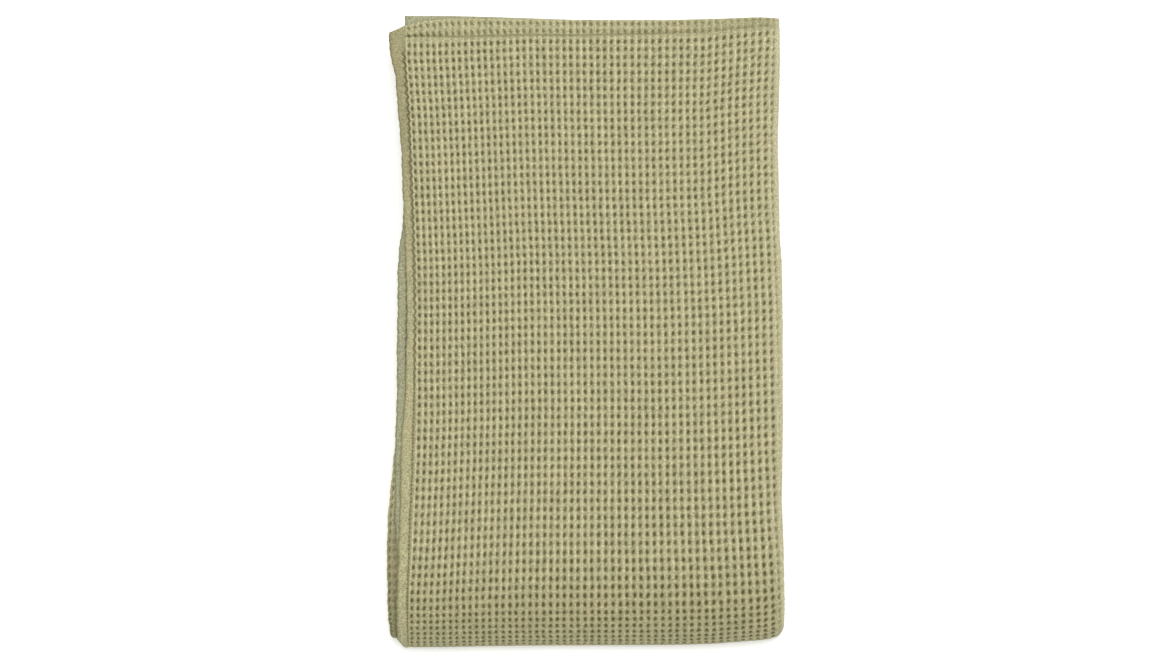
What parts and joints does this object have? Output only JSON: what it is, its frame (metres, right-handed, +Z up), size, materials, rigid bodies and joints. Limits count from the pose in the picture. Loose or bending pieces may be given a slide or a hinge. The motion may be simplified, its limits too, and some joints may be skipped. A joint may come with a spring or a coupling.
{
  "type": "folded bedspread",
  "caption": "Waffle-weave cotton bedspread with turned hems, folded into a flat rectangular stack to rest on a bed or shelf.",
  "frame": {"origin": "middle of the underside of the folded stack", "axes": "+Z up from the underside, +X towards the long edge where all the layers turn, +Y towards the short edge with the hems"},
  "size_m": [0.409, 0.6504, 0.057],
  "materials": {
    "waffle_cotton": "matt sage green waffle weave"
  },
  "bodies": {
    "root": {"bedspread": "waffle_cotton"}
  },
  "joints": []
}
